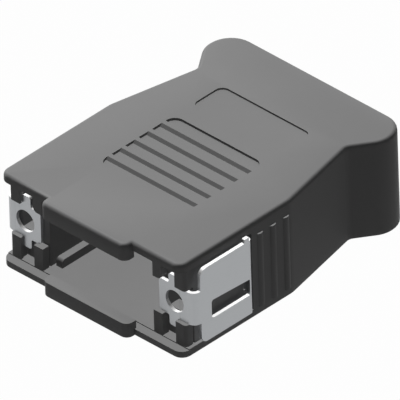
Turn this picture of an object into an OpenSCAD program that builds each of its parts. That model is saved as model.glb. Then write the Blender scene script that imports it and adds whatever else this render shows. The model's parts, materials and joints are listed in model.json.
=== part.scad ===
// Two-part plastic hood for a 9-way D-shaped connector, with a sprung steel latch on each side
// and a cable clamp inside. X runs across the hood, Y from the connector to the cable, Z up.
// Lengths are in millimetres. Heights are counted from the underside of the hood.
// Distances along Y are counted from the front edge, and in_frame() centres the finished pieces.

/* [Connector] */
// Height of the connector's flange
flange_h = 12.5; // [12:0.1:13.5]
// Distance between the connector's two fixing holes
fixing_pitch = 24.99; // [24.5:0.01:25.5]
// Clearance above and below the flange
flange_gap = 0.05; // [0.02:0.01:0.2]
// Depth of the groove that the flange drops into
groove_l = 1.3; // [1.2:0.1:1.6]

/* [Hood outline] */
// Width of the hood
hood_w = 33; // [32.6:0.1:33.4]
// Length from the front edge to the rear end
hood_l = 43.45; // [43.25:0.05:47]
// Distance from the front edge to the shoulders, where the sides begin to draw in
shoulder_y = 20.8; // [20:0.1:23]
// Width across the neck
neck_w = 27.2; // [26.6:0.1:28.4]
// Distance from the front edge to the neck
neck_y = 34.45; // [34:0.05:34.8]
// Width across the rear bulge
bulge_w = 32.75; // [32:0.05:34]
// Distance from the front edge to the corner where the flare meets the bulge
bulge_y = 38.45; // [38:0.05:38.8]
// Radius of the front corners
front_r = 1.5; // [1.3:0.1:1.8]
// Radius at the shoulders
shoulder_r = 5.3; // [2:0.1:8]
// Radius inside the neck
neck_r = 1.25; // [0.4:0.05:1.6]
// Radius between flare and bulge
flare_r = 3.6; // [2.8:0.1:4]
// Radius of the rear corners, if the bulge leaves room for it
rear_r = 3.8; // [3.2:0.1:3.8]

/* [Shells] */
// Thickness of the lower shell's base
base_t = 1; // [0.8:0.05:1.2]
// Thickness of the upper shell's top
top_t = 1.25; // [1.1:0.05:1.6]
// Height of the raised floor behind the flange groove
floor_t = 0.15; // [0.1:0.05:0.3]
// Thickness of the side wall behind the latch
wall_t = 1; // [0.8:0.05:1.2]
// Radius along the top edge
edge_r = 0.6; // [0.4:0.05:0.6]
// Radius along the bottom edge
foot_r = 0.1; // [0.05:0.05:0.3]
// Clearance between the two shells
shell_gap = 0.1; // [0.05:0.05:0.2]

/* [Front tongues] */
// Width of the tongues that hold the flange from the front
tongue_w = 15.6; // [14:0.1:17]
// Reach of the tongues in front of the shells
tongue_reach = 1.45; // [1.2:0.05:2]
// Distance from the front edge to the tongues' rear side, which is the flange's seat
tongue_back = 0.3; // [0.25:0.05:0.4]
// Height by which each tongue overlaps the flange
tongue_lap = 1.25; // [0.8:0.05:1.5]
// Radius of the tongues' corners
tongue_r = 1.1; // [0.8:0.1:1.4]

/* [Latch springs] */
// Thickness of the spring sheet
sheet_t = 0.5; // [0.4:0.05:0.6]
// Distance by which each spring's hole rests outside its fixing hole
latch_offset = 1.1; // [0.9:0.05:1.2]
// Radius of the hole that snaps behind the lock pin's head
latch_hole_r = 1.65; // [1.4:0.05:1.7]
// Height of the front plate's middle
plate_h = 5.1; // [4.6:0.1:5.2]
// Distance from the hole's middle to the front plate's free end
plate_tip = 2.8; // [2.5:0.05:2.9]
// Height over the front plate's guide tabs
tabs_h = 8.2; // [7.6:0.1:8.6]
// Width of the guide tabs
tab_w = 1.55; // [1.3:0.05:1.6]
// Distance from the hole's middle inward to the guide tabs' middle
tab_shift = 0.25; // [0.2:0.05:0.35]
// Outer radius of the bend round the hood's corner
bend_r = 1.15; // [0.9:0.05:1.2]
// Length of the narrow band between the bend and the leg
band_l = 0.1; // [0.05:0.05:0.3]
// Height of the leg
leg_h = 11.65; // [11:0.05:11.8]
// Length of the leg's flat part
leg_l = 9.25; // [8.8:0.05:9.4]
// Distance by which the leg stands proud of the hood's side
leg_proud = 0.7; // [0.65:0.05:0.8]
// Space behind the leg for its travel
leg_gap = 0.7; // [0.65:0.05:0.85]
// Clearance round the spring in its seats
spring_gap = 0.15; // [0.1:0.05:0.2]
// Height of the slot above the leg's lower edge
slot_z = 3.03; // [2.6:0.01:3.2]
// Height of the slot in the leg at its front end
slot_front_h = 2.9; // [2.4:0.1:3.2]
// Height of the slot in the leg at its rear end
slot_rear_h = 2.5; // [2:0.05:2.6]
// Length of the slot in the leg
slot_l = 7.2; // [6:0.05:7.4]
// Radius of the leg's front corners
leg_r = 1.1; // [0.6:0.1:1.4]
// Height of the raised end at the rear of the leg
leg_tab_h = 0.6; // [0.4:0.05:0.7]
// Length of the raised end at the rear of the leg
leg_tab_l = 0.85; // [0.6:0.05:1]
// Height of the anchor tail behind the leg
tail_h = 5; // [4:0.1:6]
// Reach of the anchor tail inside the side wall
tail_reach = 0.4; // [0.3:0.05:0.6]

/* [Latch guides] */
// Height of the gap that the front plate shows through
window_h = 5.45; // [5.4:0.05:5.8]
// Thickness of the skin in front of the plate
skin_t = 0.4; // [0.35:0.05:0.5]
// Length of the lower outer pillars
pillar_l = 1.25; // [1.1:0.05:1.4]
// Radius of the outer pillars' vertical edge
pillar_r = 0.5; // [0.2:0.1:0.8]
// Distance from the middle to the inner pillars
inner_pillar_x = 10.1; // [9.9:0.05:10.15]
// Width of the inner pillars
inner_pillar_w = 1.6; // [1.2:0.05:1.65]
// Length of the inner pillars
inner_pillar_l = 1.15; // [1:0.05:1.4]
// Distance from the middle to the outer pillars' inner edge
outer_pillar_x = 14.1; // [14:0.05:14.15]

/* [Floor ribs and catches] */
// Distance from the middle to the floor ribs
rib_x = 8.6; // [8.5:0.05:8.7]
// Width of the floor ribs
rib_w = 1.1; // [0.9:0.1:1.3]
// Height of the floor ribs
rib_h = 1.3; // [1:0.05:1.4]
// Distance from the front edge to the floor ribs
rib_y = 3.35; // [3.2:0.05:3.8]
// Length of the floor ribs
rib_l = 13.75; // [10:0.25:16]
// Distance from the front edge to the middle of the side catches
catch_y = 17.5; // [17:0.1:17.8]
// Length of the side catches
catch_l = 4; // [3:0.1:4.4]
// Thickness of the side catches
catch_t = 0.9; // [0.7:0.05:1]
// Height of the side catches above the floor
catch_h = 4.4; // [4:0.1:5]
// Reach of the catches' hooks into the wall
catch_hook = 0.45; // [0.3:0.05:0.5]

/* [Surface] */
// Number of raised grip ribs on each side
grip_count = 3; // [2:1:3]
// Distance from the latch recess to the first grip rib
grip_first = 1.55; // [1.3:0.05:1.8]
// Distance between grip ribs
grip_pitch = 2.45; // [2:0.05:2.6]
// Radius of the grip ribs
grip_r = 0.7; // [0.5:0.05:0.8]
// Distance by which the grip ribs stand proud
grip_proud = 0.3; // [0.2:0.05:0.4]
// Distance of the grip ribs' ends below the top
grip_drop = 2.1; // [1.8:0.1:3]
// Width of the ribbed field and of the label field
field_w = 16.4; // [15:0.1:17]
// Distance from the front edge to the ribbed field
field_y = 10.2; // [9.8:0.1:11]
// Number of slots in the ribbed field
field_count = 6; // [4:1:6]
// Distance between the slots of the ribbed field
field_pitch = 2.54; // [2.4:0.01:2.6]
// Width of the ribs left standing between the slots
field_land = 0.9; // [0.7:0.02:1.1]
// Depth of the ribbed field
field_depth = 0.4; // [0.2:0.05:0.5]
// Radius of the ribbed field's corners
field_r = 1.5; // [1:0.1:1.6]
// Distance from the front edge to the label field
label_y = 27.75; // [27:0.05:28]
// Length of the label field
label_l = 5.8; // [5:0.05:6]
// Depth of the label field
label_depth = 0.3; // [0.2:0.02:0.4]
// Radius of the label field's corners
label_r = 1.2; // [0.8:0.1:2]

/* [Cable clamp] */
// Diameter of the thickest cable
cable_d = 8; // [6:0.1:8.2]
// Clearance of the outlet round the cable
outlet_gap = 0.2; // [0.1:0.05:0.3]
// Distance from the clamp's middle to the rear end
clamp_setback = 8.6; // [8.4:0.1:8.9]
// Width of the clamp bars along the cable
clamp_w = 4; // [3:0.1:4.2]
// Thickness of the clamp bars
clamp_t = 1.5; // [1.2:0.1:1.6]
// Distance between the two clamp bars' wings
clamp_open = 0.8; // [0.4:0.1:1.2]
// Distance between the two clamp screws
clamp_pitch = 14.8; // [14.6:0.1:15]
// Radius of the clamp screws' shank
clamp_screw_r = 1; // [0.9:0.05:1.1]
// Width of the square clamp nuts
clamp_nut_w = 4; // [3.6:0.1:4.1]
// Thickness of the square clamp nuts
clamp_nut_t = 1.5; // [1.2:0.1:1.8]
// Thickness of the post above each nut
nut_cover = 0.6; // [0.5:0.1:0.8]
// Width of the posts that hold the clamp
post_w = 5.2; // [5:0.1:5.3]

/* [Shell screws] */
// Distance between the two shell screws
screw_pitch = 24.8; // [24.6:0.1:25]
// Radius of the shell screws' shank
screw_r = 1.25; // [1.1:0.05:1.3]
// Radius of the shell screws' head
screw_head_r = 2.3; // [2:0.1:2.3]
// Height of the shell screws' head
screw_head_h = 1.6; // [1.2:0.1:1.8]
// Depth of the screw heads below the underside
screw_sunk = 0.4; // [0.2:0.1:0.6]
// Length of the shell screws' shank
screw_l = 9; // [7:0.5:9]
// Radius of the screw bosses
boss_r = 2.8; // [2.7:0.05:2.9]
// Distance by which the screw bosses run into the rear wall
boss_sunk = 0.15; // [0.1:0.05:0.4]
// Height of the lower shell's screw bosses
boss_h = 3.2; // [3:0.1:3.6]
// Clearance round the screws
screw_gap = 0.1; // [0.05:0.01:0.15]

/* [Hidden] */
$fn = 64;
arc_steps = 8;
edge_steps = 5;
least_r = 0.05;
eps = 0.01;
far = 60;

// Heights
seat_top = base_t + flange_h + 2*flange_gap;
hood_h = seat_top + top_t;
mid_z = (base_t + seat_top)/2;
floor_z = base_t + floor_t;
ceiling_z = seat_top - floor_t;
window_z0 = mid_z - window_h/2;
window_z1 = mid_z + window_h/2;

leg_z0 = mid_z - leg_h/2;
leg_z1 = mid_z + leg_h/2;
clamp_z0 = mid_z - clamp_open/2 - clamp_t;
clamp_z1 = mid_z + clamp_open/2 + clamp_t;

// Places across the hood
leg_out = hood_w/2 + leg_proud;
leg_in = leg_out - sheet_t;
pocket_x = leg_in - leg_gap;
cavity_inset = hood_w/2 - pocket_x + wall_t;
latch_x = fixing_pitch/2 + latch_offset;
plate_x = latch_x - plate_tip;
tab_x = latch_x - tab_shift;
column_x = tab_x + tab_w/2 + spring_gap;
tail_x = pocket_x - wall_t - tail_reach;
catch_x = pocket_x - wall_t - shell_gap;

// Places along the hood
skin_y = groove_l + skin_t;
plate_y = skin_y + spring_gap/3;
window_y = plate_y + sheet_t + 4*spring_gap;
leg_y = plate_y + bend_r + band_l;
leg_end = leg_y + leg_l;
tail_bend_r = sheet_t + 0.1;
pocket_end = leg_end + tail_bend_r + 4*spring_gap;
field_l = field_count*field_pitch - field_land;
clamp_y = hood_l - clamp_setback;
screw_y = hood_l - cavity_inset - boss_r + boss_sunk;
outlet_r = cable_d/2 + outlet_gap;
outlet_half = outlet_r + 1.6;
screw_z0 = screw_sunk + screw_head_h;
nut_z0 = clamp_z0 - nut_cover - clamp_nut_t;
arch_r = cable_d/2 - 0.1 + clamp_t;
thread_gap = 0.02;
y_mid = (hood_l - tongue_reach)/2;

// The length of the bulge's side that its front corner takes up, and the rear corner that fits
flare_turn = atan2(bulge_w/2 - neck_w/2, bulge_y - neck_y);
flare_side = flare_r*tan(flare_turn/2);
rear_fit = min(rear_r, hood_l - bulge_y - flare_side - least_r);

// The right half of the outline: corner points with their radii, from front to rear.
right_side = [
    [[hood_w/2, 0], front_r],
    [[hood_w/2, shoulder_y], shoulder_r],
    [[neck_w/2, neck_y], neck_r],
    [[bulge_w/2, bulge_y], flare_r],
    [[bulge_w/2, hood_l], rear_fit]];

// The whole outline, anticlockwise. Its last side is the straight front edge.
outline = concat(right_side,
    [for (i = [len(right_side) - 1 : -1 : 0])
        [[-right_side[i][0].x, right_side[i][0].y], right_side[i][1]]]);

function unit(v) = v/norm(v);
function inward(v) = [-v.y, v.x];
function turned(v, a) = [v.x*cos(a) - v.y*sin(a), v.x*sin(a) + v.y*cos(a)];

// Where two lines through p meet once each has moved inward by its own distance
function moved(p, na, nb, da, db) =
    p + [da*nb.y - db*na.y, db*na.x - da*nb.x]/(na.x*nb.y - na.y*nb.x);

// The arc that rounds corner p between directions a and b, or its single point without radius
function corner(p, a, b, r, da, db, steps) =
    let (bend = atan2(a.x*b.y - a.y*b.x, a*b),
         way = sign(bend),
         round_r = max(least_r, r - way*max(da, db)),
         q = moved(p, inward(a), inward(b), da, db),
         centre = q - a*round_r*tan(abs(bend)/2) + inward(a)*round_r*way)
    r == 0 ? [q] :
    [for (k = [0 : steps]) centre - turned(inward(a), bend*k/steps)*round_r*way];

// A closed outline with rounded corners, moved inward by inset, and at its last side by front
function rounded(corners, inset = 0, front = 0, steps = arc_steps) =
    let (n = len(corners))
    [for (i = [0 : n - 1])
        let (p = corners[i][0],
             a = unit(p - corners[(i + n - 1) % n][0]),
             b = unit(corners[(i + 1) % n][0] - p))
        each corner(p, a, b, corners[i][1],
                    i == 0 ? front : inset, i == n - 1 ? front : inset, steps)];

// The sections of an outer form with rounded edges: height and inset of each
function sections(z0, z1, low_r, high_r) = concat(
    [for (k = [0 : edge_steps])
        let (a = 90*k/edge_steps)
        [z0 + low_r*(1 - cos(a)), low_r*(1 - sin(a))]],
    [for (k = [0 : edge_steps])
        let (a = 90*k/edge_steps)
        [z1 - high_r*(1 - sin(a)), high_r*(1 - cos(a))]]);

function ring(corners, s, steps) =
    [for (p = rounded(corners, s[1], s[1], steps)) [p.x, p.y, s[0]]];

// A rectangle as corner points with radii for its front and rear pair
function box_corners(w, y0, y1, r0, r1) =
    [[[w/2, y0], r0], [[w/2, y1], r1], [[-w/2, y1], r1], [[-w/2, y0], r0]];

module in_frame() {
    translate([0, -y_mid, 0]) children();
}

module both_sides() {
    children();
    mirror([1, 0, 0]) children();
}

// A block between two opposite corners
module block(low, high) {
    translate(low) cube(high - low);
}

// A solid skinned over horizontal rings, each the mirror image of itself across the middle.
// Its two ends are closed by strips from side to side.
module loft(rings) {
    n = len(rings[0]);
    last = len(rings) - 1;
    polyhedron(
        points = [for (r = rings) each r],
        faces = concat(
            [for (i = [0 : n/2 - 2]) [i, i + 1, n - 2 - i, n - 1 - i]],
            [for (j = [0 : last - 1], i = [0 : n - 1])
                [j*n + i, (j + 1)*n + i, (j + 1)*n + (i + 1) % n]],
            [for (j = [0 : last - 1], i = [0 : n - 1])
                [j*n + i, (j + 1)*n + (i + 1) % n, j*n + (i + 1) % n]],
            [for (i = [0 : n/2 - 2])
                [last*n + n - 1 - i, last*n + n - 2 - i, last*n + i + 1, last*n + i]]));
}

// The closed outer form of the hood, which both shells are cut from
module hood_form() {
    loft([for (s = sections(0, hood_h, foot_r, edge_r)) ring(outline, s, arc_steps)]);
}

// One tongue, from its rounded front corners to its root inside the shell
module tongue(z0, z1, low_r, high_r) {
    root_y = max(tongue_back, edge_r) + edge_r + least_r;
    corners = box_corners(tongue_w, -tongue_reach, root_y, tongue_r, 0);
    difference() {
        loft([for (s = sections(z0, z1, low_r, high_r)) ring(corners, s, edge_steps)]);
        block([-far, tongue_back, base_t], [far, far, seat_top]);
    }
}

// The two screw places, at a given distance across the hood
module at_screws(pitch, y) {
    for (side = [-1, 1]) translate([side*pitch/2, y, 0]) children();
}

// An outline in X and Z, extruded along Y
module upright(y0, l, corners) {
    translate([0, y0 + l, 0])
        rotate([90, 0, 0]) linear_extrude(l) polygon(rounded(corners));
}

// An outline in Y and Z, extruded along X
module sideways(x0, w, corners) {
    translate([x0, 0, 0])
        rotate([90, 0, 90]) linear_extrude(w) polygon(rounded(corners));
}

// The space inside both shells
module cavity() {
    translate([0, 0, floor_z - eps])
        linear_extrude(ceiling_z - floor_z + eps)
            polygon(rounded(outline, cavity_inset, groove_l - eps));
}

// The recess in one side that the latch spring's leg moves in, with the window for its front plate
module latch_pocket() {
    block([pocket_x, groove_l - eps, floor_z - eps], [far, pocket_end, ceiling_z]);
    block([pocket_x - wall_t - eps, groove_l - eps, floor_z - eps],
          [pocket_x + eps, window_y, ceiling_z]);
    tail_y = leg_end + tail_bend_r - sheet_t;
    block([pocket_x - wall_t - eps, tail_y - spring_gap, mid_z - tail_h/2 - spring_gap],
          [pocket_x + eps, tail_y + sheet_t + spring_gap, mid_z + tail_h/2 + spring_gap]);
}

// One outer pillar: a skin in front of the guide tab, and a column beside it
module outer_pillar(z0, z1, y1) {
    translate([0, 0, z0]) linear_extrude(z1 - z0)
        polygon(rounded([
            [[outer_pillar_x, groove_l], 0], [[pocket_x, groove_l], pillar_r],
            [[pocket_x, y1], 0], [[column_x, y1], 0],
            [[column_x, skin_y], 0], [[outer_pillar_x, skin_y], 0]]));
}

// The pillars that hang from the upper shell in front of one latch plate
module upper_pillars() {
    z1 = ceiling_z + eps;
    upright(groove_l, inner_pillar_l,
        [[[inner_pillar_x, window_z1], 0],
         [[inner_pillar_x + inner_pillar_w, window_z1], inner_pillar_w/2],
         [[inner_pillar_x + inner_pillar_w, z1], 0],
         [[inner_pillar_x, z1], 0]]);
    outer_pillar(window_z1, z1, window_y + eps);
}

// The pillars that stand on the lower shell in front of one latch plate
module lower_pillars() {
    z0 = floor_z - eps;
    block([inner_pillar_x, groove_l, z0],
          [inner_pillar_x + inner_pillar_w, groove_l + inner_pillar_l, window_z0]);
    outer_pillar(z0, window_z0, groove_l + pillar_l);
}

// Half-round grip ribs on one side wall
module grip_ribs() {
    for (i = [0 : grip_count - 1])
        translate([hood_w/2 + grip_proud - grip_r, pocket_end + grip_first + i*grip_pitch, floor_z])
            cylinder(r = grip_r, h = hood_h - grip_drop - floor_z);
}

// The sunk field on top, less the sloping ribs left standing in it
module ribbed_field() {
    bottom = hood_h - field_depth;
    slope_l = field_depth;
    difference() {
        translate([0, 0, bottom])
            linear_extrude(field_depth + 1)
                polygon(rounded(box_corners(field_w, field_y, field_y + field_l, field_r, field_r)));
        for (i = [0 : field_count - 2]) {
            y0 = field_y + (i + 1)*field_pitch - field_land;
            sideways(-field_w, 2*field_w,
                [[[y0 - slope_l/2, bottom - eps], 0], [[y0 + field_land, bottom - eps], 0],
                 [[y0 + field_land, hood_h], 0], [[y0 + slope_l/2, hood_h], 0]]);
        }
    }
}

module label_field() {
    translate([0, 0, hood_h - label_depth])
        linear_extrude(label_depth + 1)
            polygon(rounded(box_corners(field_w, label_y, label_y + label_l, label_r, label_r)));
}

// The round hole for the cable
module outlet_bore() {
    translate([0, hood_l - cavity_inset - 1, mid_z])
        rotate([-90, 0, 0]) cylinder(r = outlet_r, h = cavity_inset + 2);
}

// The piece of the rear wall that belongs to the lower shell, wider by a clearance for the upper
module saddle_block(gap) {
    block([-outlet_half - gap, hood_l - cavity_inset - gap, -1],
          [outlet_half + gap, far, mid_z]);
}

// The recess in the side wall that one catch snaps into
module catch_recess() {
    z1 = floor_z + catch_h;
    block([pocket_x - wall_t - eps, catch_y - catch_l/2 - shell_gap, z1 - 1.6],
          [pocket_x - wall_t + catch_hook, catch_y + catch_l/2 + shell_gap, z1 + shell_gap]);
}

module upper_shell() {
    color("dimgray") in_frame() difference() {
        union() {
            difference() {
                hood_form();
                block([-far, -far, -1], [far, far, floor_z]);
                block([-far, -1, -1], [far, groove_l, seat_top]);
                cavity();
                both_sides() latch_pocket();
                saddle_block(0);
                both_sides() catch_recess();
                at_screws(screw_pitch, screw_y) cylinder(r = boss_r + shell_gap, h = boss_h);
            }
            both_sides() upper_pillars();
            both_sides() grip_ribs();
            tongue(seat_top - tongue_lap, hood_h, least_r, edge_r);
            at_screws(screw_pitch, screw_y)
                translate([0, 0, boss_h]) cylinder(r = boss_r, h = ceiling_z - boss_h + eps);
        }
        at_screws(screw_pitch, screw_y)
            translate([0, 0, boss_h - 1])
                cylinder(r = screw_r + thread_gap, h = screw_z0 + screw_l + 0.4 - boss_h + 1);
        outlet_bore();
        ribbed_field();
        label_field();
    }
}

// A post with a pocket for one square nut, open towards the middle of the hood
module clamp_post() {
    translate([clamp_pitch/2, clamp_y, 0]) difference() {
        block([-post_w/2, -post_w/2, floor_z - eps], [post_w/2, post_w/2, clamp_z0]);
        block([-far, -clamp_nut_w/2 - screw_gap, nut_z0 - screw_gap/2],
              [clamp_nut_w/2 + screw_gap, clamp_nut_w/2 + screw_gap, nut_z0 + clamp_nut_t + screw_gap/2]);
        translate([0, 0, floor_z]) cylinder(r = clamp_screw_r + screw_gap, h = far);
        translate([-clamp_pitch/2, -post_w, mid_z])
            rotate([-90, 0, 0]) cylinder(r = arch_r + screw_gap, h = 2*post_w);
    }
}

// A springy upright with a hook at its end that snaps into the side wall
module side_catch() {
    z1 = floor_z + catch_h - shell_gap;
    upright(catch_y - catch_l/2, catch_l,
        [[[catch_x - catch_t, floor_z - eps], 0], [[catch_x, floor_z - eps], 0],
         [[catch_x, z1 - 1.3], 0], [[catch_x + catch_hook, z1 - 0.9], 0],
         [[catch_x, z1], 0], [[catch_x - catch_t, z1], 0]]);
}

// A long rib on the floor, rounded off at its front end
module floor_rib() {
    z0 = floor_z - eps;
    sideways(rib_x, rib_w,
        [[[rib_y, z0], 0], [[rib_y + rib_l, z0], 0],
         [[rib_y + rib_l, floor_z + rib_h], 0.2], [[rib_y, floor_z + rib_h], 0.6]]);
}

module lower_shell() {
    color("dimgray") in_frame() difference() {
        union() {
            intersection() {
                hood_form();
                union() {
                    block([-far, -1, -1], [far, far, base_t]);
                    block([-far, groove_l, -1], [far, far, floor_z]);
                    saddle_block(-shell_gap);
                }
            }
            tongue(0, base_t + tongue_lap, foot_r, least_r);
            both_sides() lower_pillars();
            both_sides() side_catch();
            both_sides() clamp_post();
            both_sides() floor_rib();
            at_screws(screw_pitch, screw_y) cylinder(r = boss_r, h = boss_h);
        }
        at_screws(screw_pitch, screw_y) {
            translate([0, 0, -1]) cylinder(r = screw_head_r + screw_gap, h = screw_z0 + 1);
            cylinder(r = screw_r + screw_gap, h = far);
        }
        outlet_bore();
    }
}

// The outline of the front plate from its free end to the bend, with its two guide tabs
module latch_plate() {
    z0 = mid_z - plate_h/2;
    z1 = mid_z + plate_h/2;
    t0 = tab_x - tab_w/2;
    t1 = tab_x + tab_w/2;
    x1 = leg_out - bend_r;
    difference() {
        upright(plate_y, sheet_t,
            [[[plate_x, z0], 0.5], [[t0, z0], 0.3], [[t0, mid_z - tabs_h/2], 0.4],
             [[t1, mid_z - tabs_h/2], 0.4], [[t1, z0], 0.3], [[x1, z0], 0],
             [[x1, z1], 0], [[t1, z1], 0.3], [[t1, mid_z + tabs_h/2], 0.4],
             [[t0, mid_z + tabs_h/2], 0.4], [[t0, z1], 0.3], [[plate_x, z1], 0.5]]);
        translate([latch_x, plate_y - 1, mid_z])
            rotate([-90, 0, 0]) cylinder(r = latch_hole_r, h = sheet_t + 2);
    }
}

// A quarter bend about the vertical at the origin, from angle a0 anticlockwise
module sheet_bend(outer_r, a0, z0, z1) {
    rotate([0, 0, a0]) rotate_extrude(angle = 90)
        translate([outer_r - sheet_t, z0]) square([sheet_t, z1 - z0]);
}

// The long leg beside the hood, with its slot, its raised rear end and the band to the bend
module latch_leg() {
    y0 = plate_y + bend_r;
    z0 = mid_z - plate_h/2;
    z1 = mid_z + plate_h/2;
    slot_z0 = leg_z0 + slot_z;
    slot_y1 = leg_end - 0.05;
    difference() {
        sideways(leg_in, sheet_t,
            [[[y0, z0], 0], [[leg_y, z0], 0], [[leg_y, leg_z0], leg_r], [[leg_end, leg_z0], 0],
             [[leg_end, leg_z1 + leg_tab_h], 0],
             [[leg_end - leg_tab_l, leg_z1 + leg_tab_h], 0.2], [[leg_end - leg_tab_l, leg_z1], 0.2],
             [[leg_y, leg_z1], leg_r], [[leg_y, z1], 0], [[y0, z1], 0]]);
        sideways(leg_in - 1, sheet_t + 2,
            [[[slot_y1 - slot_l, slot_z0], 0.4], [[slot_y1, slot_z0], 0.2],
             [[slot_y1, slot_z0 + slot_rear_h], 0.2],
             [[slot_y1 - slot_l, slot_z0 + slot_front_h], 0.4]]);
    }
}

// The right spring: front plate, bend, leg, rear bend and anchor tail in one folded sheet
module latch_spring() {
    tail_y = leg_end + tail_bend_r - sheet_t;
    latch_plate();
    translate([leg_out - bend_r, plate_y + bend_r, 0])
        sheet_bend(bend_r, 270, mid_z - plate_h/2, mid_z + plate_h/2);
    latch_leg();
    translate([leg_out - tail_bend_r, leg_end, 0])
        sheet_bend(tail_bend_r, 0, leg_z0, leg_z1);
    block([tail_x, tail_y, mid_z - tail_h/2],
          [leg_out - tail_bend_r, tail_y + sheet_t, mid_z + tail_h/2]);
}

module latch_spring_right() {
    color("silver") in_frame() latch_spring();
}

module latch_spring_left() {
    color("silver") in_frame() mirror([1, 0, 0]) latch_spring();
}

// One clamp bar: two wings and an arch round the cable, here the upper one
module clamp_bar() {
    wing = clamp_pitch/2 + post_w/2 - 0.3;
    z0 = mid_z + clamp_open/2;
    difference() {
        union() {
            block([-wing, clamp_y - clamp_w/2, z0], [wing, clamp_y + clamp_w/2, z0 + clamp_t]);
            intersection() {
                translate([0, clamp_y - clamp_w/2, mid_z])
                    rotate([-90, 0, 0]) cylinder(r = arch_r, h = clamp_w);
                block([-far, -far, z0], [far, far, far]);
            }
        }
        translate([0, clamp_y - clamp_w, mid_z])
            rotate([-90, 0, 0]) cylinder(r = arch_r - clamp_t, h = 2*clamp_w);
        at_screws(clamp_pitch, clamp_y) cylinder(r = clamp_screw_r + screw_gap, h = far);
    }
}

module clamp_bar_upper() {
    color("silver") in_frame() clamp_bar();
}

module clamp_bar_lower() {
    color("silver") in_frame() translate([0, 0, 2*mid_z]) mirror([0, 0, 1]) clamp_bar();
}

// A clamp screw with a slotted round head, on the right
module clamp_screw() {
    head_r = 1.9*clamp_screw_r;
    head_h = 1.3*clamp_screw_r;
    translate([clamp_pitch/2, clamp_y, 0]) difference() {
        union() {
            translate([0, 0, nut_z0 - 0.5]) cylinder(r = clamp_screw_r, h = clamp_z1 - nut_z0 + 0.5 + eps);
            translate([0, 0, clamp_z1]) cylinder(r = head_r, h = head_h);
        }
        block([-far, -0.25, clamp_z1 + head_h/2], [far, 0.25, far]);
    }
}

module clamp_screw_right() {
    color("silver") in_frame() clamp_screw();
}

module clamp_screw_left() {
    color("silver") in_frame() mirror([1, 0, 0]) clamp_screw();
}

module clamp_nut() {
    translate([clamp_pitch/2, clamp_y, nut_z0]) difference() {
        translate([-clamp_nut_w/2, -clamp_nut_w/2, 0]) cube([clamp_nut_w, clamp_nut_w, clamp_nut_t]);
        translate([0, 0, -1]) cylinder(r = clamp_screw_r + thread_gap, h = clamp_nut_t + 2);
    }
}

module clamp_nut_right() {
    color("silver") in_frame() clamp_nut();
}

module clamp_nut_left() {
    color("silver") in_frame() mirror([1, 0, 0]) clamp_nut();
}

// A shell screw, driven from below, with a cross recess in its head
module shell_screw() {
    recess_d = 0.6*screw_head_h;
    recess_w = 0.35*screw_head_r;
    translate([screw_pitch/2, screw_y, 0]) difference() {
        union() {
            translate([0, 0, screw_sunk]) cylinder(r = screw_head_r, h = screw_head_h);
            translate([0, 0, screw_z0 - eps]) cylinder(r = screw_r, h = screw_l + eps);
        }
        for (turn = [0, 90])
            rotate([0, 0, turn])
                block([-0.65*screw_head_r, -recess_w/2, -1],
                      [0.65*screw_head_r, recess_w/2, screw_sunk + recess_d]);
    }
}

module shell_screw_right() {
    color("silver") in_frame() shell_screw();
}

module shell_screw_left() {
    color("silver") in_frame() mirror([1, 0, 0]) shell_screw();
}

upper_shell();
lower_shell();
latch_spring_left();
latch_spring_right();
clamp_bar_upper();
clamp_bar_lower();
clamp_screw_left();
clamp_screw_right();
clamp_nut_left();
clamp_nut_right();
shell_screw_left();
shell_screw_right();
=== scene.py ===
# %% [markdown]
# # A hood for a nine-way connector
#
# The hood is two plastic shells screwed together, with a folded steel latch on each side and a
# clamp for the cable inside. The solids come from the CAD frame in metres. This script dresses
# them: it smooths their curves, gives them finishes, adds the walls seen through the open front,
# and sets up a small studio.

# %% Load the frame
import json
import math

import bmesh
import bpy
from mathutils import Matrix, Vector

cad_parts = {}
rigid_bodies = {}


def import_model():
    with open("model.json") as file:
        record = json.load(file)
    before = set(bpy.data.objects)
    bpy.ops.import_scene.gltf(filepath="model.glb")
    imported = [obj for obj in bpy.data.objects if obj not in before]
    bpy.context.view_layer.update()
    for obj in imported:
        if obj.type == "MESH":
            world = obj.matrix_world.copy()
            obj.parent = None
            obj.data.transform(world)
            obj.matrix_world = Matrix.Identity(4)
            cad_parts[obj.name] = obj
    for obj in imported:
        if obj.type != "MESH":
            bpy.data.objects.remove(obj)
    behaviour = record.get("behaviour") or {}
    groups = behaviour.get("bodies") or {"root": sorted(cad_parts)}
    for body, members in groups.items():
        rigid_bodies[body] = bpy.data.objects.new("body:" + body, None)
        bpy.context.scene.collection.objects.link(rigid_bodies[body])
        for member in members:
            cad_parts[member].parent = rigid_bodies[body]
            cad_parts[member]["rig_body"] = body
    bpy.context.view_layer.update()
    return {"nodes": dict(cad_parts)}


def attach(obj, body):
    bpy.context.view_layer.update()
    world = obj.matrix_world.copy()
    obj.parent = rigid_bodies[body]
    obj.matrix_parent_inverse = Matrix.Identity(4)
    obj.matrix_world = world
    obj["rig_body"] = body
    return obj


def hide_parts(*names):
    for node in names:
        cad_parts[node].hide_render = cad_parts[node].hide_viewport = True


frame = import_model()
MM = 0.001

# %% [markdown]
# ## The camera
#
# The picture to match is a parallel projection: edges that are parallel on the hood stay
# parallel in it. An orthographic camera does that, so its distance doesn't matter, only the
# direction it looks in and the width it takes in. It looks in the isometric direction, where
# width, length and height are all shortened alike, and is rolled a little, so that the hood's
# upright edges lean to the left. The angles become three arrows: right, up, and back.

# %% Camera
AZIMUTH = math.radians(45.0)
ELEVATION = math.atan(math.sqrt(0.5))
ROLL = math.radians(1.75)
PIXELS = 400
PIXELS_PER_MM = 7.63
SHIFT_RIGHT, SHIFT_UP = -0.441 * MM, 5.688 * MM
CAMERA_DISTANCE = 0.3

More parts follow.
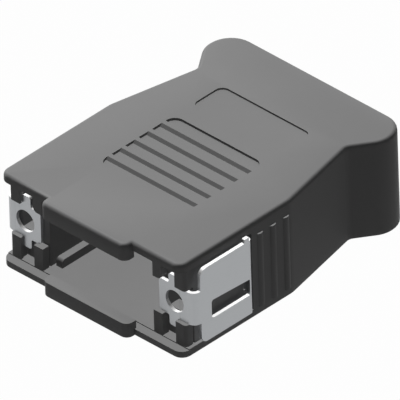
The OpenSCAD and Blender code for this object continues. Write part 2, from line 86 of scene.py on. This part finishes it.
level_right = Vector((math.cos(AZIMUTH), math.sin(AZIMUTH), 0))
back = Vector((math.sin(AZIMUTH) * math.cos(ELEVATION),
               -math.cos(AZIMUTH) * math.cos(ELEVATION),
               math.sin(ELEVATION)))
level_up = back.cross(level_right)
right = level_right * math.cos(ROLL) - level_up * math.sin(ROLL)
up = level_up * math.cos(ROLL) + level_right * math.sin(ROLL)

camera_data = bpy.data.cameras.new("camera")
camera_data.type = "ORTHO"
camera_data.ortho_scale = PIXELS / PIXELS_PER_MM * MM
camera = bpy.data.objects.new("camera", camera_data)
bpy.context.scene.collection.objects.link(camera)
camera.location = right * SHIFT_RIGHT + up * SHIFT_UP + back * CAMERA_DISTANCE
camera.rotation_mode = "QUATERNION"
camera.rotation_quaternion = Matrix((right, up, back)).transposed().to_quaternion()
camera_data.clip_start, camera_data.clip_end = 0.01, 2.0
bpy.context.scene.camera = camera
print("picture width in mm:", round(PIXELS / PIXELS_PER_MM, 1))

# %% [markdown]
# ## Shader maths in plain Python
#
# A finish is a network of nodes. Wiring each Math node by hand hides the idea, so this class
# wraps an output socket and lets Python's own operators add the nodes. Recipe.node makes any
# other node: settings first, then the values or links of its inputs.

# %% A small language for finishes
class Wire:
    """An output socket that can be added and multiplied."""

    def __init__(self, recipe, socket):
        self.recipe, self.socket = recipe, socket

    def math(self, operation, first, second):
        return self.recipe.node("ShaderNodeMath", {"operation": operation}, {0: first, 1: second})

    def __add__(self, other):
        return self.math("ADD", self, other)

    def __mul__(self, other):
        return self.math("MULTIPLY", self, other)

    __radd__, __rmul__ = __add__, __mul__


class Recipe:
    """A material whose nodes are added one by one."""

    def __init__(self, name):
        self.material = bpy.data.materials.new(name)
        self.material.use_nodes = True
        self.tree = self.material.node_tree
        self.shader = self.tree.nodes["Principled BSDF"]

    def node(self, kind, settings=None, inputs=None, output=0):
        made = self.tree.nodes.new(kind)
        for name, value in (settings or {}).items():
            setattr(made, name, value)
        for name, value in (inputs or {}).items():
            self.feed(made.inputs[name], value)
        return Wire(self, made.outputs[output])

    def feed(self, socket, value):
        if isinstance(value, Wire):
            self.tree.links.new(value.socket, socket)
        else:
            socket.default_value = value

    def place(self):
        return self.node("ShaderNodeTexCoord", output="Object")

    def stretched(self, scale):
        return self.node("ShaderNodeMapping", {}, {"Vector": self.place(), "Scale": scale})

    def noise(self, vector, scale, detail=2.0, roughness=0.5):
        return self.node("ShaderNodeTexNoise", {},
                         {"Vector": vector, "Scale": scale,
                          "Detail": detail, "Roughness": roughness})

    def blend(self, factor, low, high):
        return self.node("ShaderNodeMix", {"data_type": "RGBA"},
                         {"Factor": factor, 6: low, 7: high}, output=2)

    def bump(self, height, strength, distance):
        return self.node("ShaderNodeBump", {},
                         {"Height": height, "Strength": strength, "Distance": distance})

    def finish(self, **sockets):
        for name, value in sockets.items():
            self.feed(self.shader.inputs[name.replace("_", " ").title()], value)
        return self.material


def grey(level, warmth=0.0):
    return (level + warmth, level, level - warmth, 1.0)


# %% [markdown]
# ## Moulded plastic
#
# The shells are injection-moulded in a dark grey plastic with a fine matt texture. Its colour is
# nearly even. What makes it read as plastic is the soft sheen on the flat top, broken up by a
# texture of about a tenth of a millimetre, so that goes into the bump and the roughness.

# %% Plastic finish
def moulded_plastic(name, level):
    recipe = Recipe(name)
    place = recipe.place()
    clouds = recipe.noise(place, 180.0, detail=3.0)
    grain = recipe.noise(place, 9000.0, detail=2.0, roughness=0.6)
    colour = recipe.blend(clouds, grey(level * 0.96), grey(level * 1.04))
    recipe.shader.inputs["Specular IOR Level"].default_value = 0.08
    return recipe.finish(
        Base_Color=colour,
        Roughness=0.5 + 0.08 * grain + 0.04 * clouds,
        Normal=recipe.bump(grain, 0.2, 0.01 * MM))


plastic = moulded_plastic("dark_grey_moulding", 0.17)

# %% [markdown]
# ## Plated steel
#
# The latches are stamped from spring sheet and plated. The sheet keeps a faint grain from
# rolling, which runs one way, so the noise is stretched along it. The cut edges that look up catch
# the light evenly and read as white. The brighter, less mirror-like finish they get is painted
# light for that, and cut edges facing other ways keep the sheet finish.

# %% Metal finishes
def rolled_steel(name, level, stretch, roughness, metallic=1.0, warmth=0.0):
    recipe = Recipe(name)
    lines = recipe.noise(recipe.stretched(stretch), 1000.0, detail=4.0, roughness=0.6)
    clouds = recipe.noise(recipe.place(), 300.0)
    colour = recipe.blend(lines, grey(level * 0.93, warmth), grey(level * 1.04, warmth + 0.003))
    recipe.shader.inputs["Metallic"].default_value = metallic
    return recipe.finish(
        Base_Color=colour,
        Roughness=roughness + 0.08 * lines + 0.05 * clouds,
        Normal=recipe.bump(lines, 0.12, 0.005 * MM))


sheet_steel = rolled_steel("plated_spring_sheet", 0.38, (1.0, 1.0, 12.0), 0.3, warmth=-0.012)
# painted light: a brighter, less mirror-like copy of the steel for the cut edges that look up
painted_lit_cut_steel = rolled_steel("painted_light_cut_edge", 0.66, (4.0, 4.0, 4.0), 0.4, metallic=0.15)
pressed_steel = rolled_steel("zinc_plated_bar", 0.5, (12.0, 1.0, 1.0), 0.36)
turned_steel = rolled_steel("zinc_plated_screw", 0.55, (1.0, 1.0, 8.0), 0.3)

# %% [markdown]
# ## Smooth curves and crisp edges
#
# A CAD mesh is loose triangles, and its rounded edges are rows of narrow flat strips. Each visible
# node gets a copy: its doubles are merged and triangles in one plane are joined. An edge between
# two faces that nearly agree is then shaded smooth, so a row of strips reads as one curve, and a
# sharper edge stays crisp. The copy stands for the node, and rides on the same body.

# %% Copies with smooth curves
MERGE_DISTANCE = 0.0005 * MM
FLAT_ANGLE = math.radians(0.5)
SHARP_ANGLE = math.radians(38.0)


def dressed(node, materials):
    source = frame["nodes"][node]
    mesh = bpy.data.meshes.new(node + "_dressed")
    shape = bmesh.new()
    shape.from_mesh(source.data)
    bmesh.ops.remove_doubles(shape, verts=shape.verts, dist=MERGE_DISTANCE)
    bmesh.ops.dissolve_limit(shape, angle_limit=FLAT_ANGLE,
                             verts=shape.verts, edges=shape.edges, delimit={"NORMAL"})
    for edge in shape.edges:
        joined = len(edge.link_faces) == 2
        edge.smooth = joined and edge.calc_face_angle(math.pi) < SHARP_ANGLE
    for face in shape.faces:
        face.smooth = True
        face.material_index = 0
    shape.to_mesh(mesh)
    print(node, "faces:", len(shape.faces))
    shape.free()
    piece = bpy.data.objects.new(node + "_dressed", mesh)
    bpy.context.scene.collection.objects.link(piece)
    for material in materials:
        mesh.materials.append(material)
    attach(piece, source["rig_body"])
    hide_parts(node)
    return piece


upper = dressed("upper_shell", [plastic])
lower = dressed("lower_shell", [plastic])

# %% [markdown]
# ## The latches
#
# The sheet stands upright all round, on the leg, the bends and the front plate. So a face that
# looks up can only be a narrow one, where the press cut the sheet, and its normal tells it apart.
# These faces get the brighter steel, painted light for the light they catch.

# %% Latches with painted light on their upward cut edges
LOOKS_UP = 0.3


def latch(node):
    piece = dressed(node, [sheet_steel, painted_lit_cut_steel])
    shape = bmesh.new()
    shape.from_mesh(piece.data)
    for face in shape.faces:
        # a face that looks up gets the brighter steel, painted light for the light it catches
        face.material_index = 1 if face.normal.z > LOOKS_UP else 0
    shape.to_mesh(piece.data)
    shape.free()


latch("latch_spring_left")
latch("latch_spring_right")

# %% [markdown]
# ## Walls behind the front plates
#
# Through the open front a dark wall is seen behind each inner pillar, and a ledge beside it. They
# are plain blocks, given by two corners in millimetres for the right side and mirrored to the
# left. They begin behind the space that the pressed latch needs.

# %% Inner walls and ledges
INNER_BLOCKS = {
    "inner_wall": ("lower_shell", (10.1, -18.3, 1.1), (11.7, -9.5, 13.4)),
    "lower_ledge": ("lower_shell", (11.7, -18.3, 1.1), (14.95, -16.5, 5.35)),
    "upper_ledge": ("upper_shell", (11.75, -18.3, 9.25), (15.0, -16.5, 13.5)),
}


def inner_block(name, node, low, high, side):
    size = (Vector(high) - Vector(low)) * MM
    centre = (Vector(high) + Vector(low)) * 0.5 * MM
    centre.x *= side
    shape = bmesh.new()
    bmesh.ops.create_cube(shape, size=1.0)
    bmesh.ops.scale(shape, verts=shape.verts, vec=size)
    bmesh.ops.translate(shape, verts=shape.verts, vec=centre)
    mesh = bpy.data.meshes.new(name)
    shape.to_mesh(mesh)
    shape.free()
    mesh.materials.append(plastic)
    piece = bpy.data.objects.new(name, mesh)
    bpy.context.scene.collection.objects.link(piece)
    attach(piece, frame["nodes"][node]["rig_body"])


for name, (node, block_low, block_high) in INNER_BLOCKS.items():
    inner_block(name + "_right", node, block_low, block_high, 1)
    inner_block(name + "_left", node, block_low, block_high, -1)

# %% [markdown]
# ## The clamp and the screws
#
# These pieces sit inside or underneath. Their shapes are right as they are, so they keep their
# CAD meshes and only get a finish.

# %% Finishes on the small metal pieces
SMALL_PIECES = {
    pressed_steel: ["clamp_bar_upper", "clamp_bar_lower"],
    turned_steel: ["clamp_screw_left", "clamp_screw_right", "clamp_nut_left", "clamp_nut_right",
                   "shell_screw_left", "shell_screw_right"],
}
for material, nodes in SMALL_PIECES.items():
    for node in nodes:
        slots = frame["nodes"][node].data.materials
        slots.clear()
        slots.append(material)

# %% [markdown]
# ## The studio
#
# The floor is pale and takes the hood's shadow. The camera and mirror-like surfaces see it
# brighter than it is, which gives a white background with no extra light on the hood. One large
# soft lamp hangs above and behind, where the flat top mirrors it towards the camera. A second
# lamp shines evenly and casts no shadow, so that the floor inside the open front is lit as
# brightly as the top. The world fills in from all round.

# %% Floor
def make_floor():
    shape = bmesh.new()
    bmesh.ops.create_grid(shape, x_segments=1, y_segments=1, size=1.5)
    bmesh.ops.translate(shape, verts=shape.verts, vec=(0, 0, -0.02 * MM))
    mesh = bpy.data.meshes.new("floor")
    shape.to_mesh(mesh)
    shape.free()
    floor = bpy.data.objects.new("floor", mesh)
    bpy.context.scene.collection.objects.link(floor)
    recipe = Recipe("pale_floor")
    seen = recipe.node("ShaderNodeLightPath", output="Is Camera Ray")
    mirrored = recipe.node("ShaderNodeLightPath", output="Is Glossy Ray")
    through = recipe.node("ShaderNodeLightPath", output="Is Transmission Ray")
    glow = recipe.node("ShaderNodeEmission", {}, {"Color": grey(1.0), "Strength": 1.04})
    paint = recipe.node("ShaderNodeBsdfDiffuse", {}, {"Color": grey(0.24)})
    share = 0.93 * (seen + mirrored + through)
    mixed = recipe.node("ShaderNodeMixShader", {}, {0: share, 1: paint, 2: glow})
    recipe.feed(recipe.tree.nodes["Material Output"].inputs["Surface"], mixed)
    mesh.materials.append(recipe.material)


make_floor()

# %% Lamps and world
LAMP_DISTANCE = 0.5
WORLD_FILL, WORLD_SEEN = 0.05, 1.0


def hang(name, lamp, direction):
    lamp_object = bpy.data.objects.new(name, lamp)
    bpy.context.scene.collection.objects.link(lamp_object)
    towards = Vector(direction).normalized()
    lamp_object.location = towards * LAMP_DISTANCE
    lamp_object.rotation_mode = "QUATERNION"
    lamp_object.rotation_quaternion = towards.to_track_quat("Z", "Y")


def softbox(name, direction, size, watts):
    lamp = bpy.data.lights.new(name, "AREA")
    lamp.shape = "SQUARE"
    lamp.size = size
    lamp.energy = watts
    hang(name, lamp, direction)


def even_light(name, direction, strength):
    lamp = bpy.data.lights.new(name, "SUN")
    lamp.energy = strength
    lamp.angle = math.radians(20.0)
    lamp.use_shadow = False
    hang(name, lamp, direction)


softbox("top_lamp", (-0.35, 0.45, 1.0), size=0.45, watts=0.15)
even_light("sky_lamp", (-1.0, 0.4, 1.0), strength=4.7)

world = bpy.data.worlds.new("studio")
world.use_nodes = True
bpy.context.scene.world = world
tree = world.node_tree
background = tree.nodes["Background"]
background.inputs["Color"].default_value = grey(1.0)
path = tree.nodes.new("ShaderNodeLightPath")
visible = tree.nodes.new("ShaderNodeMath")
visible.operation = "MAXIMUM"
tree.links.new(path.outputs["Is Camera Ray"], visible.inputs[0])
tree.links.new(path.outputs["Is Glossy Ray"], visible.inputs[1])
level = tree.nodes.new("ShaderNodeMapRange")
level.inputs["To Min"].default_value = WORLD_FILL
level.inputs["To Max"].default_value = WORLD_SEEN
tree.links.new(visible.outputs[0], level.inputs["Value"])
tree.links.new(level.outputs["Result"], background.inputs["Strength"])
bpy.context.scene.view_settings.view_transform = "Standard"
